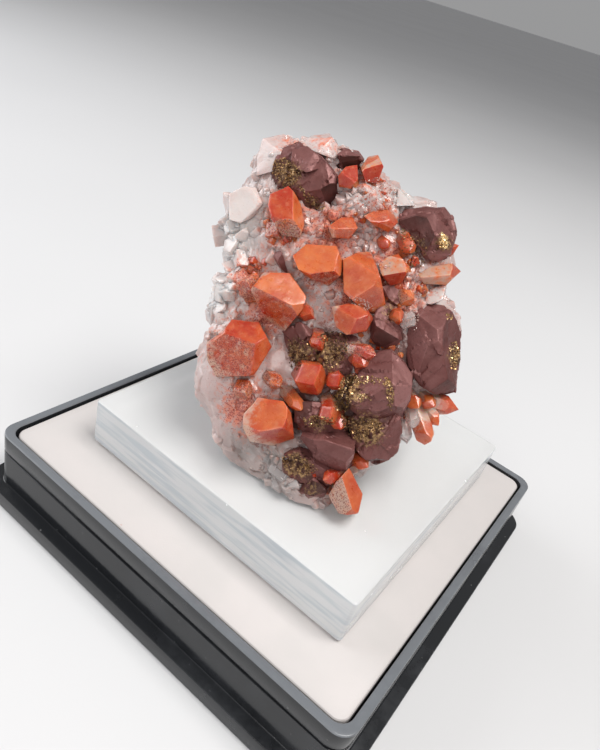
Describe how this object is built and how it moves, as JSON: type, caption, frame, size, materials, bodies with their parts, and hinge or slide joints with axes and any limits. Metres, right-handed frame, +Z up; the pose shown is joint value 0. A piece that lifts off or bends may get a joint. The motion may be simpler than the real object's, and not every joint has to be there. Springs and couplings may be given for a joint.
{
  "type": "mineral specimen",
  "caption": "Mineral specimen of red and milky quartz crystals with dark chalcopyrite, standing on a clear square block in a low black display tray with a white liner.",
  "frame": {"origin": "centre of the tray's underside, on the surface it stands on", "axes": "+Z up; +X along the tray's front left side, from its left corner to its near corner in the picture's view; +Y along its front right side, away from the viewer"},
  "size_m": [0.0556, 0.0556, 0.0498],
  "materials": {
    "tray_plastic": "glossy black moulded plastic",
    "liner_foam": "smooth matt white closed-cell foam",
    "clear_acrylic": "polished clear acrylic with softly rounded edges",
    "quartz": "glassy to slightly rough crystal faces, orange red tips on a milky pinkish grey base",
    "chalcopyrite": "dull metallic maroon tarnish with golden grains"
  },
  "bodies": {
    "root": {"tray": "tray_plastic", "liner": "liner_foam", "clear_block": "clear_acrylic", "quartz": "quartz", "chalcopyrite_top": "chalcopyrite", "chalcopyrite_crest": "chalcopyrite", "chalcopyrite_shoulder": "chalcopyrite", "chalcopyrite_right": "chalcopyrite", "chalcopyrite_core": "chalcopyrite", "chalcopyrite_middle": "chalcopyrite", "chalcopyrite_foot": "chalcopyrite", "chalcopyrite_inner": "chalcopyrite", "chalcopyrite_wedge": "chalcopyrite", "chalcopyrite_ledge": "chalcopyrite"}
  },
  "joints": []
}
